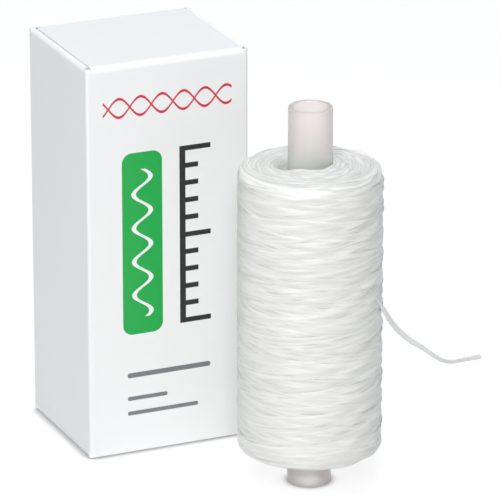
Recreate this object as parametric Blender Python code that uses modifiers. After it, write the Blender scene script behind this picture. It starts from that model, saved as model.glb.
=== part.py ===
"""Dental floss refill: a tuck-end paperboard carton with a cross-wound spool standing in front of it.

Metres, +Z up. The origin is on the surface that both pieces stand on, below the middle of the
pair without the loose tail of floss. The carton's front looks along -Y.
"""

import math

import bmesh
import bpy
import numpy as np
from mathutils import Vector

# Carton, outside sizes of the closed box
CARTON_WIDTH = 0.0362
CARTON_DEPTH = 0.0316
CARTON_HEIGHT = 0.0860
BOARD_THICKNESS = 0.00045

# Folds of the board, each an outside radius
CORNER_FOLD_RADIUS = 0.0007
LID_FOLD_RADIUS = 0.0011
TUCK_FOLD_RADIUS = 0.0009
DUST_FOLD_RADIUS = 0.0009
FOLD_RELIEF = 0.0004
CLEARANCE = 0.0003

# Lid and its tuck flap
LID_SIDE_INSET = 0.00125
LID_CORNER_RADIUS = 0.0007
TUCK_END_INSET = 0.0022
TUCK_WALL_GAP = 0.00035
TUCK_LENGTH = 0.0105
TUCK_CORNER_RADIUS = 0.0045
TUCK_TILT = math.radians(12)

# Dust flaps: the slanting front edge lets them rise under the opening lid
DUST_LENGTH = 0.0132
DUST_CORNER_CUT = 0.0016
DUST_REAR_GAP = 0.0006
DUST_REAR_TAPER = 0.0012
DUST_SLANT_SHARE = 0.60

# Glued side seam
GLUE_FLAP_WIDTH = 0.0095
GLUE_FLAP_TAPER = 0.0045
GLUE_EDGE_MARGIN = 0.0012
GLUE_END_MARGIN = 0.0080
GLUE_THICKNESS = 0.00022
SEAM_SETBACK = 0.0002

# Core tube of the spool
TUBE_OUTER_RADIUS = 0.00457
TUBE_BORE_RADIUS = 0.00356
TUBE_LENGTH = 0.0816
TUBE_EDGE_CHAMFER = 0.0002

# Wound floss
PACKAGE_RADIUS = 0.0149
PACKAGE_BOTTOM = 0.0078
PACKAGE_TOP = 0.0686
PACKAGE_SHOULDER_RADIUS = 0.0014
PACKAGE_CROWN_HEIGHT = 0.0008
STRAND_WIDTH = 0.0010
STRAND_THICKNESS = 0.0003
STRAND_GAP = 0.00045
WINDING_PITCH = 0.0050
WINDING_END_INSET = 0.0016
STRAND_EXIT_HEIGHT = 0.0466
STRAND_EXIT_ANGLE = math.radians(-75)
TAIL_DIAMETER = 0.0009

# Where the spool stands, from the carton's right and front faces to its axis
SPOOL_PAST_RIGHT_FACE = 0.0013
SPOOL_AHEAD_OF_FRONT = 0.0282

# The tail's route about the spool's axis, in the order that the floss runs off the package
TAIL_ROUTE = (
    (0.0075, -0.0129, 0.0453),
    (0.0094, -0.0120, 0.0428),
    (0.0115, -0.0111, 0.0398),
    (0.0140, -0.01065, 0.0358),
    (0.0171, -0.0108, 0.0325),
    (0.0200, -0.01155, 0.0304),
    (0.02235, -0.01225, 0.0285),
    (0.0241, -0.0128, 0.0273),
    (0.0260, -0.0134, 0.0269),
    (0.0285, -0.0144, 0.0274),
    (0.0316, -0.0157, 0.0281),
)
TAIL_POINTS = 22

# Counts
FOLD_STEPS = 4
CORNER_STEPS = 6
ROUND_STEPS = 40
POINTS_PER_LOOP = 24
STRAND_SIDES = 6

# Worked out from the sizes above
CARTON_LEFT = -(CARTON_WIDTH + SPOOL_PAST_RIGHT_FACE + PACKAGE_RADIUS) / 2
CARTON_FRONT = (SPOOL_AHEAD_OF_FRONT + PACKAGE_RADIUS - CARTON_DEPTH) / 2
SPOOL_X = CARTON_LEFT + CARTON_WIDTH + SPOOL_PAST_RIGHT_FACE
SPOOL_Y = CARTON_FRONT - SPOOL_AHEAD_OF_FRONT
# The dust flaps lie this far inside the lid's outer face
DUST_DROP = BOARD_THICKNESS + CLEARANCE
# The lid's flat stretch, from its hinge line to the start of the tuck fold
LID_FLAT = CARTON_DEPTH - BOARD_THICKNESS - TUCK_WALL_GAP - TUCK_FOLD_RADIUS - LID_FOLD_RADIUS
# Half the length of the tuck crease
TUCK_HALF_WIDTH = CARTON_WIDTH / 2 - TUCK_END_INSET
# The crease of each end wall stops this far from the carton's corners
CREASE_START = CORNER_FOLD_RADIUS + FOLD_RELIEF
# Outer face of the glue flap, behind the left wall and the glue
SEAM_X = BOARD_THICKNESS + CLEARANCE
# Radii of the strand's centre line in the two layers, and of the plain turns below them
OUTER_LAYER_RADIUS = PACKAGE_RADIUS - STRAND_THICKNESS / 2
INNER_LAYER_RADIUS = OUTER_LAYER_RADIUS - STRAND_THICKNESS - STRAND_GAP
INNER_PACKAGE_RADIUS = INNER_LAYER_RADIUS - STRAND_THICKNESS / 2 - CLEARANCE


def clear_scene():
    for old in list(bpy.data.objects):
        bpy.data.objects.remove(old, do_unlink=True)


def material(name, colour, roughness):
    made = bpy.data.materials.new(name)
    made.use_nodes = True
    shader = made.node_tree.nodes["Principled BSDF"]
    shader.inputs["Base Color"].default_value = (*colour, 1)
    shader.inputs["Roughness"].default_value = roughness
    shader.inputs["Metallic"].default_value = 0
    made.diffuse_color = (*colour, 1)
    return made


def place(made, collection, parent=None, location=(0, 0, 0), finish=None):
    made.location = location
    made.parent = parent
    if finish:
        made.data.materials.append(finish)
    collection.objects.link(made)
    return made


def empty(name, collection, location, turn_x=0.0):
    made = bpy.data.objects.new(name, None)
    made.rotation_euler.x = turn_x
    return place(made, collection, None, location)


def arc(centre, radius, start, end, steps):
    """Points on an arc from one angle to another, in degrees, both ends included."""
    angles = [math.radians(start + (end - start) * i / steps) for i in range(steps + 1)]
    return [(centre[0] + radius * math.cos(a), centre[1] + radius * math.sin(a)) for a in angles]


# Board: open surfaces on the outer face, thickened inwards


def extrude(bm, edges, offset):
    """Extrudes the edges and returns the new edges at their far side."""
    made = bmesh.ops.extrude_edge_only(bm, edges=edges)["geom"]
    verts = [item for item in made if isinstance(item, bmesh.types.BMVert)]
    bmesh.ops.translate(bm, verts=verts, vec=offset)
    far = [item for item in made if isinstance(item, bmesh.types.BMEdge)]
    return [edge for edge in far if all(vert in verts for vert in edge.verts)]


def fold(bm, edge, centre, axis, degrees):
    """Bends the board on from an edge, round a crease."""
    bmesh.ops.spin(
        bm,
        geom=[edge, *edge.verts],
        cent=centre,
        axis=axis,
        angle=math.radians(degrees),
        steps=FOLD_STEPS,
    )


def opposite(edge):
    """The edge across the face from this one."""
    face = edge.link_faces[0]
    return next(other for other in face.edges if not set(other.verts) & set(edge.verts))


def board_piece(name, bm, outward, finish, collection, parent, location=(0, 0, 0)):
    """A piece of board from its outer face: the largest face square to outward looks that way."""
    bmesh.ops.remove_doubles(bm, verts=bm.verts, dist=CLEARANCE / 100)
    bm.normal_update()
    way = Vector(outward)
    largest = max(bm.faces, key=lambda face: face.calc_area() * abs(face.normal.dot(way)))
    if largest.normal.dot(way) < 0:
        bmesh.ops.reverse_faces(bm, faces=bm.faces)
    mesh = bpy.data.meshes.new(name)
    bm.to_mesh(mesh)
    bm.free()
    made = place(bpy.data.objects.new(name, mesh), collection, parent, location, finish)
    thicken = made.modifiers.new("board thickness", "SOLIDIFY")
    thicken.thickness = BOARD_THICKNESS
    thicken.offset = -1
    thicken.use_even_offset = True
    return made


def sleeve_outline():
    """The sleeve's outer line from above, and where each wall's crease and each corner starts."""
    near = CREASE_START
    far_x = CARTON_WIDTH - CREASE_START
    far_y = CARTON_DEPTH - CREASE_START
    radius = CORNER_FOLD_RADIUS
    right = CARTON_WIDTH - radius
    back = CARTON_DEPTH - radius
    line = [(0, CARTON_DEPTH - SEAM_SETBACK)]
    creases = {"left": len(line)}
    line += [(0, far_y), (0, near)]
    corners = [len(line)]
    line += arc((radius, radius), radius, 180, 270, CORNER_STEPS)
    creases["front"] = len(line)
    line += [(near, 0), (far_x, 0)]
    corners.append(len(line))
    line += arc((right, radius), radius, 270, 360, CORNER_STEPS)
    creases["right"] = len(line)
    line += [(CARTON_WIDTH, near), (CARTON_WIDTH, far_y)]
    corners.append(len(line))
    line += arc((right, back), radius, 0, 90, CORNER_STEPS)
    creases["rear"] = len(line)
    line += [(far_x, CARTON_DEPTH), (SEAM_X + near, CARTON_DEPTH)]
    line += arc((SEAM_X + radius, back), radius, 90, 180, CORNER_STEPS)
    line += [(SEAM_X, CARTON_DEPTH - GLUE_FLAP_WIDTH)]
    return line, creases, corners


def build_sleeve(finish, collection, parent):
    """Four walls and the glue flap as one folded blank, with the fold at the end of each wall."""
    line, creases, corners = sleeve_outline()
    low = DUST_DROP + DUST_FOLD_RADIUS
    high = CARTON_HEIGHT - low
    bm = bmesh.new()
    verts = [bm.verts.new((x, y, low)) for x, y in line]
    edges = [bm.edges.new(pair) for pair in zip(verts, verts[1:])]
    extrude(bm, edges, (0, 0, high - low))
    bottom = {wall: edges[start] for wall, start in creases.items()}
    top = {wall: opposite(edge) for wall, edge in bottom.items()}

    # The three open corners reach the level of the dust flaps.
    for start in corners:
        arc_edges = edges[start : start + CORNER_STEPS]
        extrude(bm, [opposite(edge) for edge in arc_edges], (0, 0, DUST_FOLD_RADIUS))
        extrude(bm, arc_edges, (0, 0, -DUST_FOLD_RADIUS))

    # The glue flap's free end is tapered.
    flap_edge = edges[-1]
    flap_top = opposite(flap_edge)
    free_low = min(flap_edge.verts, key=lambda vert: vert.co.y)
    free_high = min(flap_top.verts, key=lambda vert: vert.co.y)
    free_low.co.z += GLUE_FLAP_TAPER
    free_high.co.z -= GLUE_FLAP_TAPER

    x_axis = (1, 0, 0)
    y_axis = (0, 1, 0)
    lid_fold = LID_FOLD_RADIUS
    lid_rise = (0, 0, CARTON_HEIGHT - lid_fold - high)
    lid_drop = (0, 0, lid_fold - low)
    front_top = extrude(bm, [top["front"]], lid_rise)[0]
    fold(bm, front_top, (0, lid_fold, CARTON_HEIGHT - lid_fold), x_axis, -90)
    rear_bottom = extrude(bm, [bottom["rear"]], lid_drop)[0]
    fold(bm, rear_bottom, (0, CARTON_DEPTH - lid_fold, lid_fold), x_axis, -90)
    extrude(bm, [top["rear"]], (0, 0, CARTON_HEIGHT - high))
    extrude(bm, [bottom["front"]], (0, 0, -low))

    dust_fold = DUST_FOLD_RADIUS
    right_centre = CARTON_WIDTH - dust_fold
    fold(bm, top["left"], (dust_fold, 0, high), y_axis, 90)
    fold(bm, bottom["left"], (dust_fold, 0, low), y_axis, -90)
    fold(bm, top["right"], (right_centre, 0, high), y_axis, -90)
    fold(bm, bottom["right"], (right_centre, 0, low), y_axis, 90)

    outward = (0, -1, 0)
    return board_piece("carton_sleeve", bm, outward, finish, collection, parent)


def build_seam_glue(finish, collection, parent):
    """The flat bead of glue between the left wall and the glue flap."""
    width = GLUE_FLAP_WIDTH - CORNER_FOLD_RADIUS - 2 * GLUE_EDGE_MARGIN
    height = CARTON_HEIGHT - 2 * GLUE_END_MARGIN
    bm = bmesh.new()
    bmesh.ops.create_cube(bm, size=1)
    bmesh.ops.scale(bm, verts=bm.verts, vec=(GLUE_THICKNESS, width, height))
    mesh = bpy.data.meshes.new("side_seam_glue")
    bm.to_mesh(mesh)
    bm.free()
    middle = (
        BOARD_THICKNESS + CLEARANCE / 2,
        CARTON_DEPTH - CORNER_FOLD_RADIUS - GLUE_EDGE_MARGIN - width / 2,
        CARTON_HEIGHT / 2,
    )
    made = bpy.data.objects.new("side_seam_glue", mesh)
    return place(made, collection, parent, middle, finish)


def build_lid(end, finish, collection, frame):
    """The lid from its hinge line, with the bend that carries the tuck flap."""
    half = CARTON_WIDTH / 2 - LID_SIDE_INSET
    radius = LID_CORNER_RADIUS
    right = arc((half - radius, LID_FLAT - radius), radius, 0, 90, FOLD_STEPS)
    left = [(-x, y) for x, y in reversed(right)]
    crease = [(TUCK_HALF_WIDTH, LID_FLAT), (-TUCK_HALF_WIDTH, LID_FLAT)]
    outline = [(-half, CLEARANCE), (half, CLEARANCE), *right, *crease, *left]
    bm = bmesh.new()
    verts = [bm.verts.new((x, y, 0)) for x, y in outline]
    bm.faces.new(verts)
    start = 2 + len(right)
    edge = bm.edges.get((verts[start], verts[start + 1]))
    fold(bm, edge, (0, LID_FLAT, -TUCK_FOLD_RADIUS), (1, 0, 0), -90)
    hinge = (CARTON_WIDTH / 2, LID_FOLD_RADIUS, 0)
    return board_piece(f"{end}_lid", bm, (0, 0, 1), finish, collection, frame, hinge)


def build_tuck_flap(end, finish, collection, lid):
    """The flap that tucks in behind the wall across from the hinge, with rounded corners."""
    half = TUCK_HALF_WIDTH
    radius = TUCK_CORNER_RADIUS
    right = arc((half - radius, radius - TUCK_LENGTH), radius, 0, -90, CORNER_STEPS)
    left = [(-x, z) for x, z in reversed(right)]
    outline = [(half, -CLEARANCE), *right, *left, (-half, -CLEARANCE)]
    bm = bmesh.new()
    bm.faces.new([bm.verts.new((x, 0, z)) for x, z in outline])
    hinge = (0, LID_FLAT + TUCK_FOLD_RADIUS, -TUCK_FOLD_RADIUS)
    name = f"{end}_tuck_flap"
    made = board_piece(name, bm, (0, 1, 0), finish, collection, lid, hinge)
    made.rotation_euler.x = -TUCK_TILT
    return made


def build_dust_flap(end, side, finish, collection, frame):
    """A side flap under the lid, slanted along the lid's hinge and cut at its free corner."""
    mirror = 1 if side == "left" else -1
    start = CREASE_START + CLEARANCE
    stop = LID_FOLD_RADIUS + LID_FLAT - DUST_REAR_GAP
    reach = DUST_LENGTH
    cut = DUST_CORNER_CUT
    free_stop = stop - DUST_REAR_TAPER
    outline = [
        (CLEARANCE, start),
        (reach, start + DUST_SLANT_SHARE * reach),
        (reach, free_stop - cut),
        (reach - cut, free_stop),
        (CLEARANCE, stop),
    ]
    bm = bmesh.new()
    bm.faces.new([bm.verts.new((mirror * x, y, 0)) for x, y in outline])
    hinge_x = DUST_FOLD_RADIUS if side == "left" else CARTON_WIDTH - DUST_FOLD_RADIUS
    hinge = (hinge_x, 0, -DUST_DROP)
    name = f"{end}_dust_flap_{side}"
    return board_piece(name, bm, (0, 0, 1), finish, collection, frame, hinge)


def build_closure(end, finish, collection, frame):
    """One end of the carton. The frame's Y runs from the lid's hinge wall into the lid."""
    lid = build_lid(end, finish, collection, frame)
    build_tuck_flap(end, finish, collection, lid)
    for side in ("left", "right"):
        build_dust_flap(end, side, finish, collection, frame)


# Spool


def turned(name, profile, finish, collection, parent):
    """A closed profile of radius and height, outer side first and running down, turned about Z."""
    mesh = bpy.data.meshes.new(name)
    count = len(profile)
    edges = [(i, (i + 1) % count) for i in range(count)]
    mesh.from_pydata([(radius, 0, height) for radius, height in profile], edges, [])
    made = place(bpy.data.objects.new(name, mesh), collection, parent, finish=finish)
    screw = made.modifiers.new("turn", "SCREW")
    screw.axis = "Z"
    screw.steps = ROUND_STEPS
    screw.render_steps = ROUND_STEPS
    screw.use_smooth_shade = True
    return made


def build_core_tube(finish, collection, parent):
    cut = TUBE_EDGE_CHAMFER
    outer = TUBE_OUTER_RADIUS
    bore = TUBE_BORE_RADIUS
    profile = [
        (outer - cut, TUBE_LENGTH),
        (outer, TUBE_LENGTH - cut),
        (outer, cut),
        (outer - cut, 0),
        (bore + cut, 0),
        (bore, cut),
        (bore, TUBE_LENGTH - cut),
        (bore + cut, TUBE_LENGTH),
    ]
    return turned("core_tube", profile, finish, collection, parent)


def build_inner_layers(finish, collection, parent):
    """The wound floss below the shown layers, with round shoulders and ends that rise to the tube."""
    radius = PACKAGE_SHOULDER_RADIUS
    crest = INNER_PACKAGE_RADIUS - radius
    bore = TUBE_OUTER_RADIUS + CLEARANCE
    crown = []
    for i in range(FOLD_STEPS):
        share = i / FOLD_STEPS
        rise = PACKAGE_CROWN_HEIGHT * (1 + math.cos(math.pi * share)) / 2
        crown.append((bore + (crest - bore) * share, rise))
    top = [(r, PACKAGE_TOP + rise) for r, rise in crown]
    top += arc((crest, PACKAGE_TOP - radius), radius, 90, 0, CORNER_STEPS)
    bottom = arc((crest, PACKAGE_BOTTOM + radius), radius, 0, -90, CORNER_STEPS)
    bottom += [(r, PACKAGE_BOTTOM - rise) for r, rise in reversed(crown)]
    return turned("floss_inner_layers", top + bottom, finish, collection, parent)


def run(start, end, radius):
    """Height and radius along a steady stretch of the spiral, without its last point."""
    steps = max(1, math.ceil(abs(end - start) / WINDING_PITCH * POINTS_PER_LOOP))
    return [(start + (end - start) * i / steps, radius) for i in range(steps)]


def half_loop(start, from_radius, to_radius, climb_before, climb_after):
    """Half a loop that changes radius while the climb per loop goes from one rate to another."""
    steps = POINTS_PER_LOOP // 2
    made = []
    for i in range(steps):
        share = i / steps
        rise = (climb_before * share + (climb_after - climb_before) * share**2 / 2) / 2
        blend = share * share * (3 - 2 * share)
        made.append((start + rise, from_radius + (to_radius - from_radius) * blend))
    return made


def strand_line():
    """The strand's centre line: down the lower half, up the whole package, down the upper half.

    Each height has two layers, and the later one crosses over the earlier one.
    """
    inner = INNER_LAYER_RADIUS
    outer = OUTER_LAYER_RADIUS
    pitch = WINDING_PITCH
    bottom = PACKAGE_BOTTOM + WINDING_END_INSET
    top = PACKAGE_TOP - WINDING_END_INSET
    middle = (PACKAGE_BOTTOM + PACKAGE_TOP) / 2
    points = run(middle - pitch / 2, bottom, inner)
    points += half_loop(bottom, inner, outer, -pitch, pitch)
    points += run(bottom, middle, outer)
    points += half_loop(middle, outer, inner, pitch, pitch)
    points += run(middle + pitch / 2, top, inner)
    points += half_loop(top, inner, outer, pitch, -pitch)
    points += run(top, STRAND_EXIT_HEIGHT, outer)
    points.append((STRAND_EXIT_HEIGHT, outer))
    step = 2 * math.pi / POINTS_PER_LOOP
    first = STRAND_EXIT_ANGLE - step * (len(points) - 1)
    line = []
    for i, (height, radius) in enumerate(points):
        angle = first + step * i
        line.append(Vector((radius * math.cos(angle), radius * math.sin(angle), height)))
    return line


def exit_direction():
    """The way the strand leaves the package, along its side."""
    angle = STRAND_EXIT_ANGLE
    return Vector((-math.sin(angle), math.cos(angle), 0))


def with_straight_ends(line):
    """The line with one strand width straight on at each end."""
    start = (line[0] - line[1]).normalized() * STRAND_WIDTH
    return [line[0] + start, *line, line[-1] + exit_direction() * STRAND_WIDTH]


def print_least_gap(line):
    """Measures the strand's least gap to its own other turns, on the points of its edges."""
    rings = []
    for point in line:
        out = Vector((point.x, point.y, 0)).normalized()
        for i in range(STRAND_SIDES):
            angle = 2 * math.pi * i / STRAND_SIDES
            across = Vector((0, 0, math.cos(angle) * STRAND_WIDTH / 2))
            rings.append(point + across + out * math.sin(angle) * STRAND_THICKNESS / 2)
    points = np.array(rings)
    apart = STRAND_SIDES * POINTS_PER_LOOP // 2
    gap = min(
        np.linalg.norm(points[i + apart :] - points[i], axis=1).min()
        for i in range(len(points) - apart)
    )
    loops = len(line) / POINTS_PER_LOOP
    print(f"winding: {loops:.1f} loops, least gap to itself {gap / 0.001:.2f} mm")


def poly_spline(curve, points, cyclic=False):
    spline = curve.splines.new("POLY")
    spline.points.add(len(points) - 1)
    spline.use_cyclic_u = cyclic
    for target, point in zip(spline.points, points):
        target.co = (*point, 1)


def build_winding(line, finish, collection, guides, parent):
    """The flat strand: one unbroken tube of the strand's section along its line."""
    section = bpy.data.curves.new("strand_section", "CURVE")
    ring = []
    for i in range(STRAND_SIDES):
        angle = 2 * math.pi * i / STRAND_SIDES
        across = math.cos(angle) * STRAND_WIDTH / 2
        ring.append((math.sin(angle) * STRAND_THICKNESS / 2, across, 0))
    poly_spline(section, ring, cyclic=True)
    guide = place(bpy.data.objects.new("strand_section", section), guides, parent)
    guide.hide_render = True
    guide.display_type = "WIRE"
    curve = bpy.data.curves.new("floss_outer_winding", "CURVE")
    curve.dimensions = "3D"
    curve.twist_mode = "Z_UP"
    curve.bevel_mode = "OBJECT"
    curve.bevel_object = guide
    curve.use_fill_caps = True
    poly_spline(curve, line)
    made = bpy.data.objects.new("floss_outer_winding", curve)
    return place(made, collection, parent, finish=finish)


def build_tail(line, finish, collection, parent):
    """The loose end of the floss as a round tube along its line."""
    curve = bpy.data.curves.new("floss_tail", "CURVE")
    curve.dimensions = "3D"
    curve.bevel_depth = TAIL_DIAMETER / 2
    curve.bevel_resolution = 2
    curve.use_fill_caps = True
    poly_spline(curve, line)
    return place(bpy.data.objects.new("floss_tail", curve), collection, parent, finish=finish)


def smooth_line(route, count):
    """Evenly spread points on a smooth curve through the route's own points."""
    ends = [2 * route[0] - route[1], *route, 2 * route[-1] - route[-2]]
    fine = []
    per_span = 12
    for before, start, end, after in zip(ends, ends[1:], ends[2:], ends[3:]):
        for i in range(per_span):
            t = i / per_span
            bend = 2 * before - 5 * start + 4 * end - after
            twist = 3 * start - before - 3 * end + after
            fine.append(start + ((end - before) * t + bend * t * t + twist * t**3) / 2)
    fine.append(route[-1])
    spans = [(b - a).length for a, b in zip(fine, fine[1:])]
    along = np.concatenate([[0], np.cumsum(spans)])
    wanted = np.linspace(0, along[-1], count)
    places = np.array(fine)
    columns = [np.interp(wanted, along, places[:, axis]) for axis in range(3)]
    return [Vector(point) for point in zip(*columns)]


def tail_line(strand_end):
    """The loose tail from the package to its cut end, one diameter straight at its start."""
    away = exit_direction()
    start = strand_end + away * CLEARANCE
    route = [start, start + away * TAIL_DIAMETER, *[Vector(point) for point in TAIL_ROUTE]]
    return smooth_line(route, TAIL_POINTS)


def build_spool(finishes, collection, guides, parent):
    build_core_tube(finishes["plastic"], collection, parent)
    floss = finishes["floss"]
    build_inner_layers(floss, collection, parent)
    line = strand_line()
    print_least_gap(line)
    whole = with_straight_ends(line)
    build_winding(whole, floss, collection, guides, parent)
    build_tail(tail_line(whole[-1]), floss, collection, parent)


def main():
    clear_scene()
    collection = bpy.data.collections.new("dental floss refill")
    bpy.context.scene.collection.children.link(collection)
    guides = bpy.data.collections.new("guides")
    bpy.context.scene.collection.children.link(guides)
    board = material("coated paperboard", (0.88, 0.88, 0.88), 0.42)
    finishes = {
        "plastic": material("translucent plastic", (0.80, 0.74, 0.75), 0.35),
        "floss": material("waxed floss", (0.86, 0.87, 0.86), 0.30),
    }
    glue = material("seam glue", (0.78, 0.76, 0.68), 0.55)

    carton = empty("carton", collection, (CARTON_LEFT, CARTON_FRONT, 0))
    build_sleeve(board, collection, carton)
    build_seam_glue(glue, collection, carton)
    top = empty("top_end", collection, (CARTON_LEFT, CARTON_FRONT, CARTON_HEIGHT))
    build_closure("top", board, collection, top)
    rear = CARTON_FRONT + CARTON_DEPTH
    bottom = empty("bottom_end", collection, (CARTON_LEFT, rear, 0), math.pi)
    build_closure("bottom", board, collection, bottom)

    spool = empty("spool_axis", collection, (SPOOL_X, SPOOL_Y, 0))
    build_spool(finishes, collection, guides, spool)


main()
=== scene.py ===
"""Looks of the dental floss refill: the folded carton, the cross-wound spool and its loose tail.

Metres, +Z up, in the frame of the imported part. Run as a script, it builds the pieces in order.
"""

import math
import random
from types import SimpleNamespace

import bmesh
import bpy
import numpy as np
from mathutils import Matrix, Vector


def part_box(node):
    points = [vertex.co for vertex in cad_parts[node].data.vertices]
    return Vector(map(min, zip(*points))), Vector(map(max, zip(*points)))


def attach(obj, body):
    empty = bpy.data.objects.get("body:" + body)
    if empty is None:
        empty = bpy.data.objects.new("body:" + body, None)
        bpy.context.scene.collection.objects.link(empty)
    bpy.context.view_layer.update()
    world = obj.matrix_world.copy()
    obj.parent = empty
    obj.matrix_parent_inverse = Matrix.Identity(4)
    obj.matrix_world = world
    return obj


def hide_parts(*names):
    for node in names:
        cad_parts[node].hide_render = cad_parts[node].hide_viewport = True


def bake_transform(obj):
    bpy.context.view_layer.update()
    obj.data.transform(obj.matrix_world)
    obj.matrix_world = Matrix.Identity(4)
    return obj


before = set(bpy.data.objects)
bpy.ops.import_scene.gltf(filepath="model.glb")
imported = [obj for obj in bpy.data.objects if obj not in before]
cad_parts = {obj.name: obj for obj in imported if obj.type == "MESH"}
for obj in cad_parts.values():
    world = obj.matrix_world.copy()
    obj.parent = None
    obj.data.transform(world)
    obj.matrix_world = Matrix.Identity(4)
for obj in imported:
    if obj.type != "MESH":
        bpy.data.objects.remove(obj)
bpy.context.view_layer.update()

bl_info = {
    "name": "Dental floss refill",
    "version": (1, 0, 0),
    "blender": (4, 5, 0),
    "location": "3D View > Sidebar > Floss refill",
    "description": "Builds a folded paperboard carton and a cross-wound floss spool",
    "category": "Object",
}

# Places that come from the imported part
SLEEVE_LOW, SLEEVE_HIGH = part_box("carton_sleeve")
TUBE_LOW, TUBE_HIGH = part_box("core_tube")
LAYERS_LOW, LAYERS_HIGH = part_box("floss_inner_layers")
LEFT, FRONT = SLEEVE_LOW.x, SLEEVE_LOW.y
RIGHT, BACK, TOP = SLEEVE_HIGH.x, SLEEVE_HIGH.y, SLEEVE_HIGH.z
MIDDLE = Vector(((LEFT + RIGHT) / 2, (FRONT + BACK) / 2, TOP / 2))
SPOOL_AXIS = Vector(((TUBE_LOW.x + TUBE_HIGH.x) / 2, (TUBE_LOW.y + TUBE_HIGH.y) / 2, 0))

# From a piece of the carton's upper left to its like at the lower end, where the lid is hinged at
# the back, and on the right
STAY = Matrix.Identity(4)
TO_MIDDLE = Matrix.Translation(MIDDLE)
HALF_TURN = TO_MIDDLE @ Matrix.Rotation(math.pi, 4, "X") @ TO_MIDDLE.inverted()
SIDE_MIRROR = TO_MIDDLE @ Matrix.Diagonal((-1, 1, 1, 1)) @ TO_MIDDLE.inverted()
ENDS = (("top", STAY), ("bottom", HALF_TURN))
SIDES = (("left", STAY), ("right", SIDE_MIRROR))

# The glued seam: from the rear wall to the strip's start, and from the left wall to the glue flap
SEAM_START = 0.0002
SEAM_GAP = 0.0003
# A dust flap: room to the lid's fold, slant of its front side as a share of its reach, its rear
# end from the front wall, slant of its rear side, and its free corners
DUST_CLEARANCE = 0.0004
DUST_TAPER = 0.60
DUST_END = 0.0293
DUST_SLANT = 0.0012
DUST_CORNER = 0.0016

# The floss rises this much from the package's rim to the tube
CROWN = 0.0008
# The sunk place beside the tube: its direction, its spread to each side and its reach
HOLLOW_ANGLE = math.radians(130)
HOLLOW_SPREAD = math.radians(48)
HOLLOW_REACH = 0.0026
# Painted shade in that hollow, which darkens the floss: its middle from the tube and below the
# package's rim, and the distances from it where the floss starts and ends getting brighter
SHADE_FROM_TUBE = 0.0010
SHADE_BELOW_RIM = 0.001
SHADE_NEAR, SHADE_FAR = 0.0012, 0.0046
# Above the package, the floss's painted reflection on the tube fades between these heights
REFLECTION_LOW, REFLECTION_HIGH = 0.0015, 0.0045
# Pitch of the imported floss's crossing ridges, how many ridges a turn crosses, the floss's depth
# below the loose windings, where it stops short of the tube, and the points of its profile
RIDGE_PITCH = 0.00062
RIDGES_PER_TURN = 24.0
PACKED_DEPTH = 0.00003
PACKED_GAP = 0.00005
PACKED_POINTS = 240
# Lengths of the broad soft waves in the package's skin
WAVE_LENGTHS = (0.0013, 0.0017, 0.0022, 0.0029, 0.0038, 0.0052)
# How far past the shoulder some trips of the floss run, how far a trip wanders to each side, and
# the number of points over which its turning points are softened
OVERRUNS = (0, 0, 0.0012, 0.0028)
WANDER = 0.00010
SOFTENED = 17
# The loose turns on each end: their number, how far round the shoulder they start, how they crowd
# near it, their waves with the size of each, and their depth beside the tube and its decrease
END_TURNS = 26
END_START = 0.7
END_CROWDING = 1.1
END_WAVES = ((0.73, 0.0012), (1.27, 0.0008), (2.21, 0.0004))
END_DEPTH, END_RISE = 0.00014, 0.00012
STEPS_PER_TURN = 72
STEP = 2 * math.pi / STEPS_PER_TURN
SEED = 7

# The tail's route about the spool's axis, as in the part
TAIL_START = (0.005073, -0.013911, 0.0466)
TAIL_AWAY = (0.965926, 0.258819, 0)
TAIL_FIRST_STEP = 0.0009
TAIL_ROUTE = (
    (0.0075, -0.0129, 0.0453),
    (0.0094, -0.0120, 0.0428),
    (0.0115, -0.0111, 0.0398),
    (0.0140, -0.01065, 0.0358),
    (0.0171, -0.0108, 0.0325),
    (0.0200, -0.01155, 0.0304),
    (0.02235, -0.01225, 0.0285),
    (0.0241, -0.0128, 0.0273),
    (0.0260, -0.0134, 0.0269),
    (0.0285, -0.0144, 0.0274),
    (0.0316, -0.0157, 0.0281),
)
TAIL_POINTS = 40
TAIL_EXIT_ANGLE = math.radians(-75)
# At even steps along the tape: its turn about its own line, 0 standing up and 90 lying flat, and
# the share of its width that is spread out
TAIL_TURNS = (0, 60, 84, 50, 6, -6, -6, 0, 8, 14, 12, 6, 0)
TAIL_SPREAD = (0.22, 0.30, 0.42, 0.75, 0.95, 1.0, 1.0, 0.97, 0.88, 0.85, 0.85, 0.95, 1.05)
# Half of the tape's section, as shares of half its width and thickness
TAIL_SECTION = ((1.0, 0.0), (0.88, 0.75), (0.50, 1.0), (0.0, 0.45), (-0.50, 1.0), (-0.88, 0.75))

LAMP_TARGET = Vector((-0.002, 0.0, 0.045))
CAMERA_TARGET = Vector((0.01036, 0.00575, 0.04138))
CAMERA_AZIMUTH, CAMERA_ELEVATION = math.radians(-23.8), math.radians(20.1)


def metres(name, description, default):
    return bpy.props.FloatProperty(
        name=name, description=description, default=default, min=0, unit="LENGTH", precision=5
    )


def lean(name, description, degrees):
    return bpy.props.FloatProperty(
        name=name, description=description, default=math.radians(degrees), subtype="ANGLE"
    )


def amount(name, description, default, unit="NONE"):
    return bpy.props.FloatProperty(
        name=name, description=description, default=default, min=0, unit=unit
    )


def tint(name, description, default):
    return bpy.props.FloatVectorProperty(
        name=name, description=description, default=default, subtype="COLOR", size=3, min=0, max=1
    )


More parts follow.
